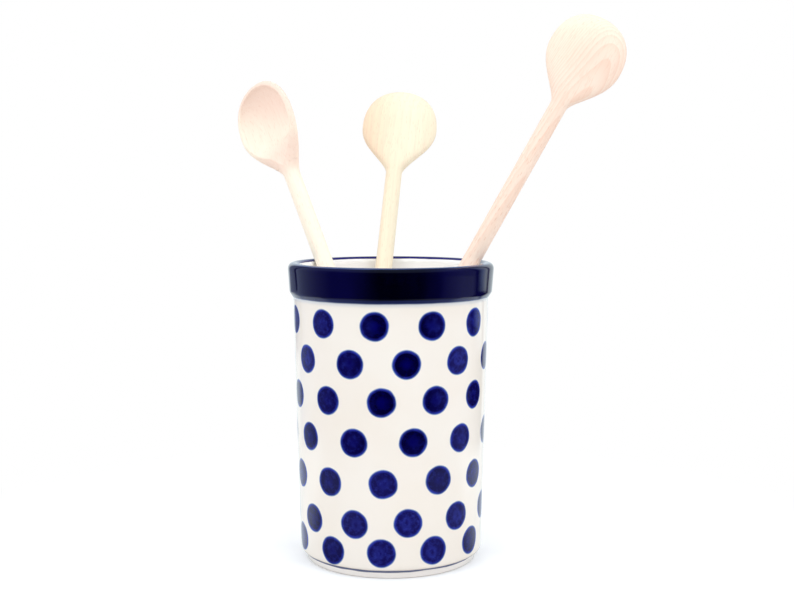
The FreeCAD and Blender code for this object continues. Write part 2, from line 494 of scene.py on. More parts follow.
    def _swirl(self, board: NodeBoard, stamp: Socket, number: Socket) -> Socket:
        """Draws the loose ring that the sponge leaves off a dot's middle, stronger on some dots.

        Args:
            board: The glaze's nodes.
            stamp: The place on the dot, and the dot's number.
            number: The dot's number.

        Returns:
            How strongly the ring shows.
        """
        side = board.math("MULTIPLY", number, self.swirl_turns * FULL_TURN)
        right = board.math("MULTIPLY", board.math("COSINE", side), self.swirl_off)
        up = board.math("MULTIPLY", board.math("SINE", side), self.swirl_off)
        middle = board.add("CombineXYZ", {"X": right, "Y": up, "Z": number}).outputs[0]
        off = board.add("VectorMath", {0: stamp, 1: middle}, operation="SUBTRACT").outputs[0]
        share = board.math("DIVIDE", board.length(off), self.dot_radius)
        share = board.ragged(share, stamp, self.swirl_edge, self.swirl_wobble)
        ring = board.between(share, self.swirl_rise, self.swirl_drop)
        return board.math("MULTIPLY", ring, board.step(number, 0.0, 1.0, *self.swirl_levels))

    def _line(self, board: NodeBoard, colour: Socket, place: Socket, run: Socket, line: float) -> Socket:
        """Paints the thin line of colour that has pooled where the wall steps in to the foot.

        Args:
            board: The glaze's nodes.
            colour: The colour that the line lies on.
            place: The place on the crock.
            run: The way along the profile.
            line: Where the line lies.

        Returns:
            The colour with the line on it.
        """
        along = board.ragged(run, place, self.line_edge, self.line_below)
        above = (line - self.line_above, line - self.line_above * self.line_core)
        below = (line + self.line_below * self.line_core, line + self.line_below)
        return board.mix(board.between(along, above, below), colour, self.line_blue)

    def _collar(self, board: NodeBoard, colour: Socket, place: Socket, run: Socket, end: float) -> Socket:
        """Paints the navy collar, with a haze of its colour below it.

        Args:
            board: The glaze's nodes.
            colour: The colour that the collar lies on.
            place: The place on the crock.
            run: The way along the profile.
            end: Where the collar ends.

        Returns:
            The colour with the collar on it.
        """
        along = board.ragged(run, place, self.collar_brush, self.collar_wobble)
        haze = board.step(along, *shifted(self.collar_haze_span, end), self.collar_haze_most, 0.0)
        haze = board.math("MULTIPLY", haze, board.step(along, 0.0, end))
        colour = board.mix(haze, colour, self.collar_haze)
        cover = board.between(along, self.collar_inside_span, shifted(self.collar_end_span, end))
        return board.mix(cover, colour, self._navy(board, place, along, end))

    def _navy(self, board: NodeBoard, place: Socket, along: Socket, end: float) -> Socket:
        """Mixes the collar's colour, with painted sheen beside the front, a paler crest of the lip that is
        partly thin glaze and partly a painted highlight, and a faded lower edge.

        Args:
            board: The glaze's nodes.
            place: The place on the crock.
            along: The way along the profile.
            end: Where the collar ends.

        Returns:
            The collar's colour.
        """
        drawn = board.squeeze(place, self.streaks_drawn)
        streaks = board.step(board.noise(drawn, self.streaks), *self.streaks_span, 0.0, self.streaks_most)
        # painted sheen: the collar is painted lighter beside the front, as grazing light shows it
        sides = board.math("MULTIPLY", self._painted_sheen_share(board, place), self.collar_painted_sheen_most)
        navy = board.mix(board.math("ADD", sides, streaks), self.navy, self.navy_streak_and_painted_sheen)
        faded = board.step(along, *shifted(self.collar_thin_span, end), 0.0, self.collar_thin_most)
        navy = board.mix(faded, navy, self.collar_thin)
        navy = board.mix(board.step(along, *shifted(self.collar_edge_span, end)), navy, self.collar_edge)
        navy = board.mix(board.fall(along, *self.lip_span), navy, self.lip_blue)
        # the crest is paler: partly thin glaze, partly a painted highlight
        left, right = (board.fall(along, stop - self.crest_fade, stop) for stop in self.crest_stops)
        crest = board.mix(board.step(board.part(place, "X"), *self.crest_sides), left, right)
        crest = board.math("MULTIPLY", board.step(along, *self.crest_span), crest)
        return board.mix(crest, navy, self.crest_break_and_painted_highlight)

    def _painted_sheen_share(self, board: NodeBoard, place: Socket) -> Socket:
        """Returns the share by which a place lies beside the crock's front, where a painted sheen makes the
        colour paler, as grazing light shows the curved wall.
        """
        off = board.math("SUBTRACT", board.part(place, "X"), self.front_middle)
        return board.step(board.math("ABSOLUTE", off), *self.painted_sheen_span)


class Corner(NamedTuple):
    """A corner of the crock's profile, with the radius that rounds it."""

    radius: float
    height: float
    rounding: float


class Bend(IntEnum):
    """Corners at which the glaze changes, by their order in the profile."""

    FOOT_INSIDE = 2
    FOOT_OUTSIDE = 3
    FOOT_TOP = 4
    COLLAR_ROOT = 6


class Slip(NamedTuple):
    """How far the hand set a dot off its even place: its number from the row's middle dot, along and up."""

    number: int
    along: float
    up: float


class StampRow(NamedTuple):
    """A row of dots: its height, the turn of its middle dot, its climb to the right, and its slips."""

    height: float
    turn: float
    climb: float
    slips: tuple[Slip, ...] = ()


class Dot(NamedTuple):
    """A stamped dot: its turn round the crock, its height and its own number."""

    turn: float
    height: float
    number: float


@dataclass
class Crock:
    """The crock, turned as one closed profile. Sizes are in metres, turns in degrees from the front."""

    height: float
    lip_radius: float
    body: str = "crock"
    node: str = "crock"
    piece_name: str = "crock_glazed"
    collar_depth: float = 0.0193
    collar_step: float = 0.00295
    collar_draft: float = 0.0009
    collar_edge_rise: float = 0.0032
    collar_edge_round: float = 0.0030
    collar_root_round: float = 0.0010
    wall_taper: float = 0.00345
    wall_foot_round: float = 0.0021
    wall_thickness: float = 0.0042
    foot_height: float = 0.0045
    foot_step: float = 0.0023
    foot_draft: float = 0.0012
    foot_edge_round: float = 0.0008
    foot_ring_width: float = 0.0065
    recess_height: float = 0.0022
    recess_round: float = 0.0015
    base_thickness: float = 0.0058
    floor_corner_round: float = 0.0040
    lip_crown_flat: float = 0.0001
    turn_steps: int = 192
    round_segments: int = 7
    longest_edge: float = 0.0022
    hand_wobble: float = 0.00014
    wobble_scale: float = 55.0
    dots_round: int = 11
    dot_jitter: float = 0.0005
    dot_seed: int = 11
    stamp_rows: tuple[StampRow, ...] = (
        StampRow(0.1347, -8.9, 0.0),
        StampRow(0.1149, 8.9, 0.0),
        StampRow(0.0951, -5.6, 0.0007, (
            Slip(-1, -0.0005, -0.0005), Slip(0, 0.0008, 0.0004), Slip(2, -0.0017, -0.0004),
        )),
        StampRow(0.0735, 12.1, 0.0001, (
            Slip(-2, -0.0027, -0.0004), Slip(-1, -0.0012, 0.0001), Slip(0, 0.0010, 0.0004),
        )),
        StampRow(0.0515, -4.4, 0.0013, (
            Slip(-1, -0.0012, -0.0006), Slip(1, 0.0012, 0.0001), Slip(2, -0.0003, -0.0005),
        )),
        StampRow(0.0303, 10.4, 0.0013, (Slip(-2, 0.0008, -0.0014),)),
        StampRow(0.0149, -5.4, 0.0008, (
            Slip(-1, 0.0003, -0.0016), Slip(1, -0.0007, -0.0005), Slip(2, -0.0018, 0.0001),
        )),
    )

    @classmethod
    def in_frame(cls) -> Crock:
        """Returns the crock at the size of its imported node."""
        low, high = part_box("crock")
        return cls(height=high.z - low.z, lip_radius=(high.x - low.x) / 2)

    @property
    def collar_bottom(self) -> float:
        """Height of the collar's lower edge."""
        return self.height - self.collar_depth

    @property
    def floor(self) -> float:
        """Height of the floor inside."""
        return self.recess_height + self.base_thickness

    @property
    def lip_round(self) -> float:
        """Radius of the lip's two roundings, which nearly meet on its crest."""
        return (self.lip_radius - self.inner_radius(self.height) - self.lip_crown_flat) / 2

    def wall_radius(self, height: float) -> float:
        """Returns the outside radius of the tapered wall at a height."""
        return self.lip_radius - self.collar_step - self.wall_taper * (1 - height / self.collar_bottom)

    def inner_radius(self, height: float) -> float:
        """Returns the inside radius of the wall at a height."""
        return self.wall_radius(height) - self.wall_thickness

    def corners(self) -> list[Corner]:
        """Lists the profile from the middle of the base, round the outside, to the middle of the floor.

        Returns:
            The corners, each with its rounding.
        """
        foot_top = self.wall_radius(self.foot_height) - self.foot_step
        foot_bottom = foot_top - self.foot_draft
        recess_edge = foot_bottom - self.foot_ring_width
        collar_side = self.collar_depth - self.collar_edge_rise - self.lip_round
        lean_out = self.collar_draft * self.lip_round / collar_side
        collar_edge = self.collar_bottom + self.collar_edge_rise
        return [
            Corner(0.0, self.recess_height, 0.0),
            Corner(recess_edge - self.foot_draft, self.recess_height, self.recess_round),
            Corner(recess_edge, 0.0, self.foot_edge_round),
            Corner(foot_bottom, 0.0, self.foot_edge_round),
            Corner(foot_top, self.foot_height, 0.0),
            Corner(self.wall_radius(self.foot_height), self.foot_height, self.wall_foot_round),
            Corner(self.wall_radius(self.collar_bottom), self.collar_bottom, self.collar_root_round),
            Corner(self.lip_radius - self.collar_draft, collar_edge, self.collar_edge_round),
            Corner(self.lip_radius + lean_out, self.height, self.lip_round),
            Corner(self.inner_radius(self.height), self.height, self.lip_round),
            Corner(self.inner_radius(self.floor), self.floor, self.floor_corner_round),
            Corner(0.0, self.floor, 0.0),
        ]

    def build(self, glaze: CrockGlaze) -> bpy.types.Object:
        """Turns the profile into a closed mesh and glazes it.

        Args:
            glaze: The finish.

        Returns:
            The new piece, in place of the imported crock.
        """
        bm = bmesh.new()
        self._draw_profile(bm)
        marks = self._mark_run(bm)
        bmesh.ops.spin(
            bm, geom=bm.verts[:] + bm.edges[:], cent=(0, 0, 0), axis=(0, 0, 1), dvec=(0, 0, 0),
            angle=FULL_TURN, steps=self.turn_steps, use_merge=True, use_duplicate=False,
        )
        bmesh.ops.remove_doubles(bm, verts=bm.verts, dist=MERGE_DISTANCE)
        bmesh.ops.recalc_face_normals(bm, faces=bm.faces)
        self._mark_stamps(bm)
        self._soften(bm)
        for face in bm.faces:
            face.smooth = True
        piece = piece_from(bm, self.piece_name, glaze.material(marks))
        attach(piece, self.body)
        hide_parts(self.node)
        return piece

    def _draw_profile(self, bm: bmesh.types.BMesh) -> None:
        """Draws the rounded profile as a chain of short edges.

        Args:
            bm: The mesh that the chain is drawn in.
        """
        corners = self.corners()
        points = [bm.verts.new((c.radius, 0.0, c.height)) for c in corners]
        for start, end in zip(points, points[1:]):
            bm.edges.new((start, end))
        places = [point.co.copy() for point in points]
        for i, corner in enumerate(corners):
            if corner.rounding == 0:
                continue
            half = (places[i - 1] - places[i]).angle(places[i + 1] - places[i]) / 2
            bmesh.ops.bevel(
                bm, geom=[points[i]], offset=corner.rounding / math.tan(half), offset_type="OFFSET",
                segments=self.round_segments, profile=0.5, affect="VERTICES", material=-1,
            )
        for edge in bm.edges[:]:
            cuts = math.ceil(edge.calc_length() / self.longest_edge) - 1
            if cuts > 0:
                bmesh.ops.subdivide_edges(bm, edges=[edge], cuts=cuts)

    def _mark_run(self, bm: bmesh.types.BMesh) -> GlazeMarks:
        """Writes on each point of the profile how far it lies from the crest of the lip.

        Args:
            bm: The mesh that holds the chain.

        Returns:
            Where along the profile the glaze changes.
        """
        layer = bm.verts.layers.float.new(Layer.RUN.value)
        vertex = min((v for v in bm.verts if len(v.link_edges) == 1), key=lambda v: v.co.z)
        chain = [vertex]
        edge = vertex.link_edges[0]
        while edge is not None:
            vertex = edge.other_vert(vertex)
            chain.append(vertex)
            edge = next((e for e in vertex.link_edges if e is not edge), None)
        way = [0.0]
        for start, end in zip(chain, chain[1:]):
            way.append(way[-1] + (end.co - start.co).length)
        crest = way[max(range(len(chain)), key=lambda i: chain[i].co.z)]
        for point, gone in zip(chain, way):
            point[layer] = crest - gone
        corners = self.corners()

        def run_near(bend: Bend) -> float:
            """Returns the way to the point of the profile nearest a corner."""
            spot = Vector((corners[bend].radius, 0.0, corners[bend].height))
            return min(chain, key=lambda v: (v.co - spot).length_squared)[layer]

        return GlazeMarks(
            collar_end=run_near(Bend.COLLAR_ROOT), line=run_near(Bend.FOOT_TOP),
            foot_start=run_near(Bend.FOOT_OUTSIDE), foot_end=run_near(Bend.FOOT_INSIDE),
        )

    def dots(self) -> list[list[Dot]]:
        """Sets out the dots, each a little off its place as a hand stamps it.

        Returns:
            The dots of each row, in order round the crock.
        """
        draw = random.Random(self.dot_seed)
        rows = []
        for row in self.stamp_rows:
            rows.append([])
            start = math.radians(row.turn)
            radius = self.wall_radius(row.height)
            slips = {slip.number % self.dots_round: slip for slip in row.slips}
            for i in range(self.dots_round):
                slip = slips.get(i, Slip(i, 0.0, 0.0))
                along = slip.along + draw.uniform(-1, 1) * self.dot_jitter
                turn = start + FULL_TURN * i / self.dots_round + along / radius
                up = slip.up + draw.uniform(-1, 1) * self.dot_jitter
                height = row.height + row.climb * math.sin(turn) + up
                rows[-1].append(Dot(turn, height, draw.random()))
        return rows

    def _mark_stamps(self, bm: bmesh.types.BMesh) -> None:
        """Writes on each corner of the wall where it lies relative to the nearest dot.

        Args:
            bm: The crock's mesh.
        """
        layer = bm.loops.layers.float_vector.new(Layer.STAMP.value)
        rows = self.dots()
        far = Vector((1.0, 1.0, 0.0))
        for face in bm.faces:
            middle = face.calc_center_median()
            wall_middle = self.inner_radius(middle.z) + self.wall_thickness / 2
            outside = math.hypot(middle.x, middle.y) > wall_middle
            on_wall = outside and self.foot_height < middle.z < self.collar_bottom
            dot = self._nearest_dot(middle, rows) if on_wall else None
            for loop in face.loops:
                loop[layer] = far if dot is None else self._from_dot(loop.vert.co, dot)

    def _nearest_dot(self, place: Vector, rows: list[list[Dot]]) -> Dot:
        """Finds the dot nearest a place on the wall.

        Args:
            place: The place.
            rows: The dots of each row.

        Returns:
            The nearest dot.
        """
        turn = math.atan2(place.x, -place.y)
        pitch = FULL_TURN / self.dots_round
        facing = [
            dots[round((turn - math.radians(row.turn)) / pitch) % self.dots_round]
            for row, dots in zip(self.stamp_rows, rows)
        ]
        return min(facing, key=lambda dot: self._from_dot(place, dot).xy.length_squared)

    def _from_dot(self, place: Vector, dot: Dot) -> Vector:
        """Measures a place on the wall from a dot.

        Args:
            place: The place.
            dot: The dot.

        Returns:
            How far the place lies along and up from the dot, and the dot's number.
        """
        turn = math.atan2(place.x, -place.y) - dot.turn
        turn = (turn + math.pi) % FULL_TURN - math.pi
        return Vector((turn * self.wall_radius(place.z), place.z - dot.height, dot.number))

    def _soften(self, bm: bmesh.types.BMesh) -> None:
        """Moves the surface by the small unevenness of glazed clay.

        Args:
            bm: The crock's mesh.
        """
        for vertex in bm.verts:
            outward = Vector((vertex.co.x, vertex.co.y, 0.0))
            if outward.length > self.longest_edge and vertex.co.z > self.foot_height:
                shift = noise.noise(vertex.co * self.wobble_scale) * self.hand_wobble
                vertex.co += outward.normalized() * shift


@dataclass(frozen=True)
class Beech:
    """Bare sanded beech: growth rings, a warmer tone that is partly the wood's and partly painted shade, fine
    fibres and short flecks along the grain.

    The pith runs beside the spoon, at a place across and towards its face, and rings arch where it leans.
    The wood turns from pale to warm along a direction of the spoon, between two places on it: on the middle
    spoon a warmer side of the wood, on the left spoon partly end grain and partly painted shade, and on the
    right spoon painted shade where it turns from the light. The neck and the head are spans of the way along
    the spoon, and the neck can carry painted shade. A drawn value scales a pattern that way, and a small one
    draws it out.
    """

    name: str
    pith: tuple[float, float]
    pale: Colour
    warm: Colour
    warm_way: tuple[float, float, float]
    warm_span: Span
    warm_most: float = 1.0
    # painted shade on the neck, where the hollow runs down into it
    neck_painted_shade: float = 0.0
    neck_span: Span = (0.235, 0.253)
    neck_fade: Span = (-0.006, 0.006)
    drift: Noise = Noise(70.0, 2.0)
    drift_drawn: float = 0.2
    drift_span: Span = (0.3, 0.7)
    drift_most: float = 0.2
    lean: float = 0.0
    sway_scale: float = 24.0
    sway_detail: float = 2.0
    sway_drawn: float = 0.35
    sway_depth: float = 0.005
    ring: Colour = tone(243, 204, 182)
    ring_width: float = 0.0026
    ring_crowd: float = 1.0
    ring_reach: float = 0.055
    ring_curve: float = 1.6
    ring_end: Span = (0.9, 1.0)
    ring_depth: float = 0.35
    pale_rings: float = 0.6
    fibre: Noise = Noise(1100.0, 2.0, 0.6)
    fibre_drawn: float = 0.03
    fibre_span: Span = (0.50, 0.72)
    fibre_depth: float = 0.30
    fibre_relief: Relief = Relief(0.00010, 0.2)
    fleck: Colour = tone(222, 172, 144)
    fleck_scale: float = 950.0
    fleck_drawn: float = 0.18
    fleck_span: Span = (0.12, 0.30)
    fleck_depth: float = 0.30
    fleck_relief: Relief = Relief(0.00005, 0.25)
    head_flecks: float = 1.0
    head_span: Span = (0.265, 0.290)
    roughness: float = 0.55

    def material(self, foot: Vector, turn: Matrix) -> bpy.types.Material:
        """Makes the wood, with its grain along a spoon.

        Args:
            foot: The spoon's lower end.
            turn: The spoon's own directions: across, towards its face and along its handle.

        Returns:
            The material.
        """
        made = bpy.data.materials.new(self.name)
        board = NodeBoard(made)
        place = board.add("TexCoord").outputs["Object"]
        feeds: Feeds = {"Vector": place, "Location": foot, "Rotation": turn.to_euler()}
        grain = board.add("Mapping", feeds, vector_type="TEXTURE").outputs[0]
        height = board.part(grain, "Z")
        warmth = self._warmth_and_painted_shade(board, grain, height)
        drift = board.noise(board.squeeze(grain, self.drift_drawn), self.drift)
        drift = board.step(drift, *self.drift_span, 0.0, self.drift_most)
        colour = board.mix(drift, self.pale, self.warm)
        # warmer tone: partly the wood's own, partly painted shade where the spoon turns from the light and at
        # the neck
        colour = board.mix(warmth, colour, self.warm)
        depth = board.step(warmth, 0.0, 1.0, self.ring_depth * self.pale_rings, self.ring_depth)
        rings = self._rings(board, self._reach(board, grain, height))
        colour = board.mix(board.math("MULTIPLY", rings, depth), colour, self.ring)
        fibres = board.noise(board.squeeze(grain, self.fibre_drawn), self.fibre)
        colour = board.mix(board.step(fibres, *self.fibre_span, 0.0, self.fibre_depth), colour, self.ring)
        flecks = self._flecks(board, grain)
        depth = board.step(height, *self.head_span, self.fleck_depth, self.fleck_depth * self.head_flecks)
        colour = board.mix(board.math("MULTIPLY", flecks, depth), colour, self.fleck)
        relief = board.bump(fibres, self.fibre_relief)
        relief = board.bump(board.math("SUBTRACT", 1.0, flecks), self.fleck_relief, relief)
        board.surface({"Base Color": colour, "Roughness": self.roughness, "Normal": relief})
        return made

    def _warmth_and_painted_shade(self, board: NodeBoard, grain: Socket, height: Socket) -> Socket:
        """Finds how warm the wood is, on its warmer side, which is partly painted shade, and at its neck,
        where the warmth is painted shade.

        Args:
            board: The wood's nodes.
            grain: The place on the spoon, in its own directions.
            height: The way along the spoon.

        Returns:
            The warmth, from 0 to 1.
        """
        way = board.add("VectorMath", {0: grain, 1: self.warm_way}, operation="DOT_PRODUCT").outputs["Value"]
        side = board.step(way, *self.warm_span, 0.0, self.warm_most)
        # painted shade on the neck
        start, end = (shifted(self.neck_fade, limit) for limit in self.neck_span)
        neck = board.math("MULTIPLY", board.between(height, start, end), self.neck_painted_shade)
        return board.math("MAXIMUM", side, neck)

    def _reach(self, board: NodeBoard, grain: Socket, height: Socket) -> Socket:
        """Measures the distance from the pith, which sways a little and leans along the spoon.

        Args:
            board: The wood's nodes.
            grain: The place on the spoon, in its own directions.
            height: The way along the spoon.

        Returns:
            The distance.
        """
        drawn = board.squeeze(grain, self.sway_drawn)
        feeds: Feeds = {"Vector": drawn, "Scale": self.sway_scale, "Detail": self.sway_detail}
        sway = board.add("TexNoise", feeds).outputs["Color"]
        depth = (self.sway_depth, self.sway_depth, 0.0)
        moved = board.add("VectorMath", {0: sway, 1: depth, 2: grain}, operation="MULTIPLY_ADD").outputs[0]
        off = board.add("VectorMath", {0: moved, 1: (*self.pith, 0.0)}, operation="SUBTRACT").outputs[0]
        reach = board.length(board.squeeze(off, 0.0))
        return board.math("ADD", reach, board.math("MULTIPLY", height, self.lean))

    def _rings(self, board: NodeBoard, reach: Socket) -> Socket:
        """Draws growth rings, each darkening slowly and ending sharply, and narrower away from the pith.

        Args:
            board: The wood's nodes.
            reach: The distance from the pith.

        Returns:
            How dark the rings are, from 0 to 1.
        """
        share = board.math("POWER", board.math("DIVIDE", reach, self.ring_reach), self.ring_crowd)
        count = self.ring_reach / (self.ring_crowd * self.ring_width)
        growth = board.math("FRACT", board.math("MULTIPLY", share, count))
        rise = board.math("POWER", growth, self.ring_curve)
        return board.math("MULTIPLY", rise, board.fall(growth, *self.ring_end))

    def _flecks(self, board: NodeBoard, grain: Socket) -> Socket:
        """Draws short dark dashes along the grain.

        Args:
            board: The wood's nodes.
            grain: The place on the spoon, in its own directions.

        Returns:
            How strong the dashes are, from 0 to 1.
        """
        drawn = board.squeeze(grain, self.fleck_drawn)
        cells = board.add(
            "TexVoronoi", {"Vector": drawn, "Scale": self.fleck_scale, "Randomness": 1.0},
            voronoi_dimensions="3D", feature="F1",
        )
        return board.fall(cells.outputs["Distance"], *self.fleck_span)


@dataclass(frozen=True)
class HollowTail:
    """Shallow end of a spoon's hollow, which runs out in a point on the neck.

    Ways along the spoon are counted from its foot, and heights from the middle of its handle towards its
    face. Each pair of heights is that at the point and that at the end, where the tail meets the hollow.
    """

    point: float
    end: float
    rim_heights: Span = (0.00522, 0.00763)
    floor_heights: Span = (0.00500, 0.00410)
    widening: float = 1.35
    widest: float = 0.020
    crown: float = 12.0
    steepness: float = 2.6
    softness: float = 0.0004
    softening: float = 0.125
    grid: float = 0.0005
    side: float = 0.0125
    lowest: float = 0.002
    margin: float = 0.0015

    def height(self, across: float, along: float) -> float:
        """Measures the carved surface.

        Args:
            across: Place across the spoon.
            along: Way along the spoon.

        Returns:
            Its height, which lies above the wood outside the tail.
        """
        share = (along - self.point) / (self.end - self.point)
        rim, floor = (low + (high - low) * share for low, high in (self.rim_heights, self.floor_heights))
        half_width = self.widest * (1 - math.exp(-self.widening * (along - self.point) / self.widest))
        wall = (abs(across) / half_width) ** self.steepness
        return rim - self.crown * across ** 2 - (rim - floor) * (1 - wall)

    def carve(self, bm: bmesh.types.BMesh) -> None:
        """Cuts a fine grid into the neck and presses it down to the carved surface.

        Args:
            bm: The spoon's mesh, in the spoon's own directions.
        """
        faces = [face for face in bm.faces if self._near(face.calc_center_median())]
        edges = dict.fromkeys(edge for face in faces for edge in face.edges)
        points = dict.fromkeys(point for face in faces for point in face.verts)
        cut = [*points, *edges, *faces]
        along, across = Vector((0, 0, 1)), Vector((1, 0, 0))
        lines = ((along, self.point - self.margin, self.end + self.margin), (across, -self.side, self.side))
        for way, start, stop in lines:
            for i in range(round((stop - start) / self.grid) + 1):
                spot = way * (start + i * self.grid)
                done = bmesh.ops.bisect_plane(bm, geom=cut, dist=CUT_TOLERANCE, plane_co=spot, plane_no=way)
                cut = done["geom"]
        bmesh.ops.triangulate(bm, faces=[part for part in cut if isinstance(part, bmesh.types.BMFace)])
        for vertex in bm.verts:
            if vertex.co.z > self.point and self._near(vertex.co):
                vertex.co.y = self._pressed(vertex.co)

    def _pressed(self, place: Vector) -> float:
        """Finds the lower of the wood and the carved surface, with the edge between them eased.

        Args:
            place: A place on the wood.

        Returns:
            The height to press it to.
        """
        carved = self.height(place.x, place.z)
        soft = min(self.softness, (place.z - self.point) * self.softening)
        share = min(max(0.5 + (carved - place.y) / soft / 2, 0.0), 1.0)
        return carved + (place.y - carved) * share - soft * share * (1 - share)

    def _near(self, place: Vector) -> bool:
        """Tells whether a place lies on the face of the neck."""
        on_neck = self.point - self.margin < place.z < self.end + self.margin
        return on_neck and abs(place.x) < self.side and place.y > self.lowest


@dataclass
class Spoon:
    """One spoon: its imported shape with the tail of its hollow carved, and its wood."""

    node: str
    wood: Beech
    tail: HollowTail
    handle_sample: float = 0.03
    head_sample: float = 0.05

    def build(self, packed: bpy.types.Object, axis: Vector) -> bpy.types.Object:
        """Makes the carved spoon, with the grain of its wood along its handle.

        Args:
            packed: The spoon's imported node.
            axis: The direction of its handle, from the foot up.

        Returns:
            The new piece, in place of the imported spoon.
        """
        foot, turn = self._stand(packed, axis.normalized())
        stand = Matrix.Translation(foot) @ turn.to_4x4()
        bm = bmesh.new()
        bm.from_mesh(packed.data)
        bmesh.ops.remove_doubles(bm, verts=bm.verts, dist=MERGE_DISTANCE)
        bm.transform(stand.inverted())
        self.tail.carve(bm)
        bm.transform(stand)
        piece = piece_from(bm, self.node + "_carved", self.wood.material(foot, turn))
        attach(piece, self.node)
        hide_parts(self.node)
        return piece

    def _stand(self, packed: bpy.types.Object, axis: Vector) -> tuple[Vector, Matrix]:
        """Finds where the spoon stands and which way it faces.

        Args:
            packed: The spoon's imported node.
            axis: The direction of its handle.

        Returns:
            The middle of its foot, and its directions across, towards its face and along its handle.
        """
        places = [vertex.co for vertex in packed.data.vertices]
        along = [place.dot(axis) for place in places]
        start, end = min(along), max(along)
        handle = [p for p, a in zip(places, along) if a < start + self.handle_sample]
        head = [p for p, a in zip(places, along) if a > end - self.head_sample]
        low = sum(handle, Vector()) / len(handle)
        high = sum(head, Vector()) / len(head)
        foot = low + axis * (start - low.dot(axis))
        face = high - foot
        face = (face - axis * face.dot(axis)).normalized()
        turn = Matrix((face.cross(axis), face, axis)).transposed()
        return foot, turn


def three_spoons() -> tuple[Spoon, ...]:
    """Lists the spoons, each cut from another piece of beech.

    Returns:
        The left, middle and right spoon.
    """
    # left spoon: warmer towards the tip, partly end grain and partly painted shade in the upper hollow, which
    # faces down; painted shade on the neck too
    left = Beech(
        "left_beech", pith=(0.030, -0.050), pale=tone(254, 247, 230), warm=tone(252, 225, 211),
        warm_way=(-0.51, 0.0, 0.86), warm_span=(0.2225, 0.2440), warm_most=0.88, neck_painted_shade=0.7,
        ring_depth=0.12, fibre_depth=0.15, fleck_depth=0.2,
    )
    middle = Beech(
        "middle_beech", pith=(-0.045, 0.040), pale=tone(249, 242, 217), warm=tone(248, 226, 197),
        warm_way=(-1.0, 0.0, 0.0), warm_span=(-0.004, 0.019),
        ring_width=0.0040, ring_depth=0.25, fleck_depth=0.22,
    )
    # right spoon: painted shade, warmer towards the lower right of the head, which turns from the light, and
    # down the handle
    right = Beech(
        "right_beech", pith=(0.016, -0.020), pale=tone(251, 241, 221), warm=tone(251, 230, 216),
        warm_way=(0.755, 0.0, -0.656), warm_span=(-0.228, -0.192), warm_most=0.80, lean=0.09,
        ring_width=0.0017, ring_crowd=4.0, ring_depth=0.55,
        fibre_depth=0.35, fleck_depth=0.42, head_flecks=0.4,
    )
    return (
        Spoon("left_spoon", left, HollowTail(0.2404, 0.2520)),
        Spoon("middle_spoon", middle, HollowTail(0.2376, 0.2495)),
        Spoon("right_spoon", right, HollowTail(0.2822, 0.2929)),
    )


class SoftBox(NamedTuple):
    """A square soft box: its name, place, length of side and power in watts."""

    name: str
    place: tuple[float, float, float]
    side: float
    power: float


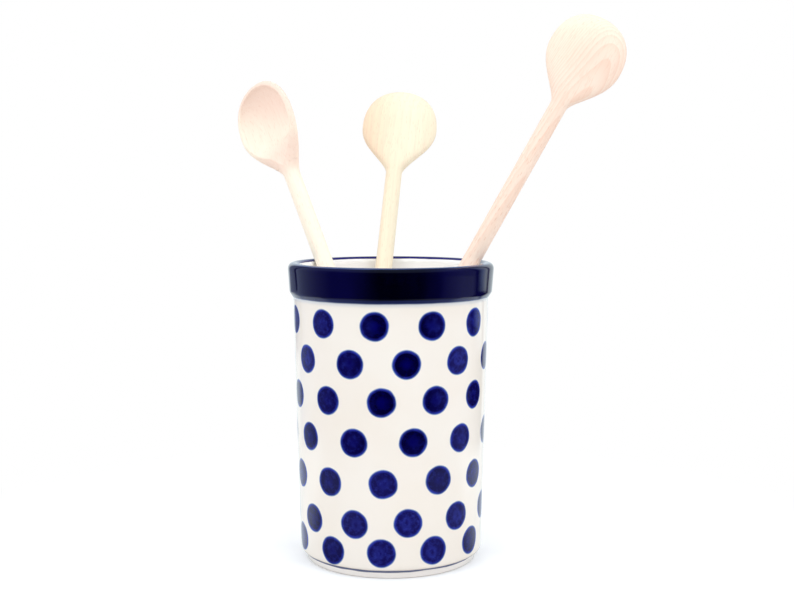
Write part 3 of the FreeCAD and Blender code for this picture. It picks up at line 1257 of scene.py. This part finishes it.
@dataclass
class Studio:
    """Pale table, soft light and the camera of the photograph.

    Spans on the table are in metres from its middle. The colours from mirror_white on are those of the room
    as the glaze mirrors it: white behind, a panel on each side, haze beside them and a dark front.
    """

    camera_place: tuple[float, float, float] = (0.00342, -0.6799, 0.2071)
    camera_pitch: float = 5.214
    camera_near: float = 0.01
    focal_pixels: float = 1226.8
    image_width: int = 794
    sensor_width: float = 36.0
    table_radius: float = 0.62
    table_segments: int = 96
    table_paint: Colour = (0.87, 0.90, 0.93, 1.0)
    table_bounce: Colour = (0.74, 0.69, 0.66, 1.0)
    table_glow: float = 0.13
    white_span: Span = (0.12, 0.30)
    mirror_front_sides: Span = (0.02, 0.16)
    mirror_front_levels: Span = (0.10, 0.32)
    mirror_front_end: Span = (0.24, 0.30)
    mirror_back: Span = (-0.05, 0.02)
    mirror_end: Span = (0.27, 0.33)
    front_level: float = 0.58
    back_level: float = 1.0
    fill_span: Span = (-0.6, 0.2)
    mirror_white: Colour = (0.86, 0.96, 1.0, 1.0)
    dark: Colour = grey(0.005)
    left_haze: Colour = (0.11, 0.12, 0.20, 1.0)
    left_panel: Colour = (0.40, 0.48, 0.66, 1.0)
    left_edge: Colour = (0.24, 0.28, 0.40, 1.0)
    right_haze: Colour = (0.11, 0.12, 0.26, 1.0)
    right_panel: Colour = (0.42, 0.56, 0.90, 1.0)
    right_gap: Colour = (0.08, 0.08, 0.12, 1.0)
    low_haze: Colour = (0.20, 0.22, 0.36, 1.0)
    overhead: Colour = (0.18, 0.22, 0.36, 1.0)
    level_span: Span = (-0.16, -0.13)
    overhead_span: Span = (0.35, 0.75)
    aim: tuple[float, float, float] = (0.0, 0.0, 0.15)
    soft_boxes: tuple[SoftBox, ...] = (
        SoftBox("overhead", (0.0, -0.40, 1.35), 1.0, 4.0),
        SoftBox("left", (-1.1, -0.85, 0.80), 1.0, 7.8),
        SoftBox("right", (1.1, -0.85, 0.80), 1.0, 8.4),
    )

    def build(self) -> None:
        """Sets up the camera, the table, the lamps and the surroundings."""
        scene = bpy.context.scene
        scene.view_settings.view_transform = "Standard"
        self._camera(scene)
        self._table()
        self._lamps(scene)
        self._surroundings(scene)

    def _camera(self, scene: bpy.types.Scene) -> None:
        """Places the camera where the photograph was taken.

        Args:
            scene: The scene that gets it.
        """
        data = bpy.data.cameras.new("camera")
        data.sensor_width = self.sensor_width
        data.lens = self.focal_pixels / self.image_width * self.sensor_width
        data.clip_start = self.camera_near
        camera = bpy.data.objects.new("camera", data)
        camera.location = self.camera_place
        camera.rotation_euler = (math.radians(90 - self.camera_pitch), 0.0, 0.0)
        scene.collection.objects.link(camera)
        scene.camera = camera

    def _table(self) -> None:
        """Makes a round table top that runs out into white."""
        bm = bmesh.new()
        bmesh.ops.create_circle(bm, cap_ends=True, segments=self.table_segments, radius=self.table_radius)
        piece_from(bm, "table", self._table_finish())

    def _table_finish(self) -> bpy.types.Material:
        """Makes the table's white, which keeps the shadow near the crock and is mirrored dark in front of it.

        Returns:
            The material.
        """
        made = bpy.data.materials.new("table_white")
        board = NodeBoard(made)
        place = board.add("TexCoord").outputs["Object"]
        reach = board.length(place)
        path = board.add("LightPath").outputs
        paint = board.mix(path["Is Camera Ray"], self.table_bounce, self.table_paint)
        matt = board.add("BsdfDiffuse", {"Color": paint}).outputs[0]
        lift = board.math("MULTIPLY", path["Is Camera Ray"], self.table_glow)
        glow = board.add("Emission", {"Color": grey(1.0), "Strength": lift}).outputs[0]
        lifted = board.add("AddShader", {0: matt, 1: glow}).outputs[0]
        white = board.add("Emission", {"Color": grey(1.0), "Strength": 1.0}).outputs[0]
        far = board.math("MULTIPLY", path["Is Camera Ray"], board.step(reach, *self.white_span))
        seen = board.add("MixShader", {0: far, 1: lifted, 2: white}).outputs[0]
        across = board.math("ABSOLUTE", board.part(place, "X"))
        front = board.step(across, *self.mirror_front_sides, *self.mirror_front_levels)
        front = board.math("MULTIPLY", front, board.fall(reach, *self.mirror_front_end))
        level = board.math("MAXIMUM", front, board.step(board.part(place, "Y"), *self.mirror_back))
        mirrored = board.add("Emission", {"Color": self.mirror_white, "Strength": level}).outputs[0]
        through = board.add("BsdfTransparent").outputs[0]
        edge = board.step(reach, *self.mirror_end)
        mirrored = board.add("MixShader", {0: edge, 1: mirrored, 2: through}).outputs[0]
        both = board.add("MixShader", {0: path["Is Glossy Ray"], 1: seen, 2: mirrored}).outputs[0]
        board.add("OutputMaterial", {"Surface": both})
        return made

    def _lamps(self, scene: bpy.types.Scene) -> None:
        """Hangs the soft boxes, which light the object and leave its reflections to the surroundings.

        Args:
            scene: The scene that gets them.
        """
        for box in self.soft_boxes:
            data = bpy.data.lights.new(box.name, "AREA")
            data.size = box.side
            data.energy = box.power
            lamp = bpy.data.objects.new(box.name, data)
            lamp.location = box.place
            lamp.rotation_euler = (Vector(self.aim) - lamp.location).to_track_quat("-Z", "Y").to_euler()
            lamp.visible_glossy = False
            scene.collection.objects.link(lamp)

    def _surroundings(self, scene: bpy.types.Scene) -> None:
        """Makes the white room, which glossy surfaces see as a backdrop, side panels and a dark front.

        Args:
            scene: The scene that gets it.
        """
        world = bpy.data.worlds.new("studio")
        scene.world = world
        board = NodeBoard(world)
        way = board.add("TexCoord").outputs["Generated"]
        turn = board.math("ARCTAN2", board.part(way, "X"), board.part(way, "Y"))
        share = board.add("Math", {0: turn, 1: 1 / FULL_TURN, 2: 0.5}, operation="MULTIPLY_ADD").outputs[0]
        up = board.part(way, "Z")
        level_view = board.ramp(share, self._level_panels())
        low_view = board.ramp(share, self._low_panels())
        mirrored = board.mix(board.step(up, *self.level_span), low_view, level_view)
        mirrored = board.mix(board.step(up, *self.overhead_span), mirrored, self.overhead)
        fill = board.step(board.part(way, "Y"), *self.fill_span, self.front_level, self.back_level)
        path = board.add("LightPath").outputs
        colour = board.mix(path["Is Glossy Ray"], fill, mirrored)
        colour = board.mix(path["Is Camera Ray"], colour, grey(1.0))
        back = board.add("Background", {"Color": colour, "Strength": 1.0}).outputs[0]
        board.add("OutputWorld", {"Surface": back})

    def _level_panels(self) -> list[tuple[float, Colour]]:
        """Lists what lies round the crock at its own level, as shares of a turn from the front.

        Returns:
            The colours and their places.
        """
        return [
            (0.00, self.dark), (0.190, self.dark), (0.250, self.left_haze), (0.356, self.left_panel),
            (0.362, self.dark), (0.370, self.dark), (0.377, self.left_edge), (0.430, self.left_edge),
            (0.442, self.mirror_white), (0.600, self.mirror_white), (0.604, self.right_gap),
            (0.612, self.right_gap), (0.628, self.mirror_white), (0.662, self.right_panel),
            (0.688, self.dark), (0.696, self.dark), (0.704, self.right_haze), (0.755, self.right_haze),
            (0.840, self.dark),
        ]

    def _low_panels(self) -> list[tuple[float, Colour]]:
        """Lists what lies round the crock further down, as shares of a turn from the front.

        Returns:
            The colours and their places.
        """
        return [
            (0.00, self.dark), (0.190, self.dark), (0.250, self.left_haze), (0.362, self.left_panel),
            (0.385, self.left_panel), (0.405, self.mirror_white), (0.590, self.mirror_white),
            (0.610, self.dark), (0.690, self.dark), (0.710, self.low_haze), (0.755, self.low_haze),
            (0.840, self.dark),
        ]


def main() -> None:
    """Builds the crock and the spoons and sets up the studio."""
    logging.basicConfig(level=logging.INFO, format="%(message)s")
    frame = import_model()
    axes = {joint["child"]: Vector(joint["axis"]) for joint in frame["joints"]}
    pieces = [Crock.in_frame().build(CrockGlaze())]
    pieces += [spoon.build(frame["nodes"][spoon.node], axes[spoon.node]) for spoon in three_spoons()]
    for piece in pieces:
        LOG.info("%s: %d faces", piece.name, len(piece.data.polygons))
    Studio().build()


if __name__ == "__main__":
    main()
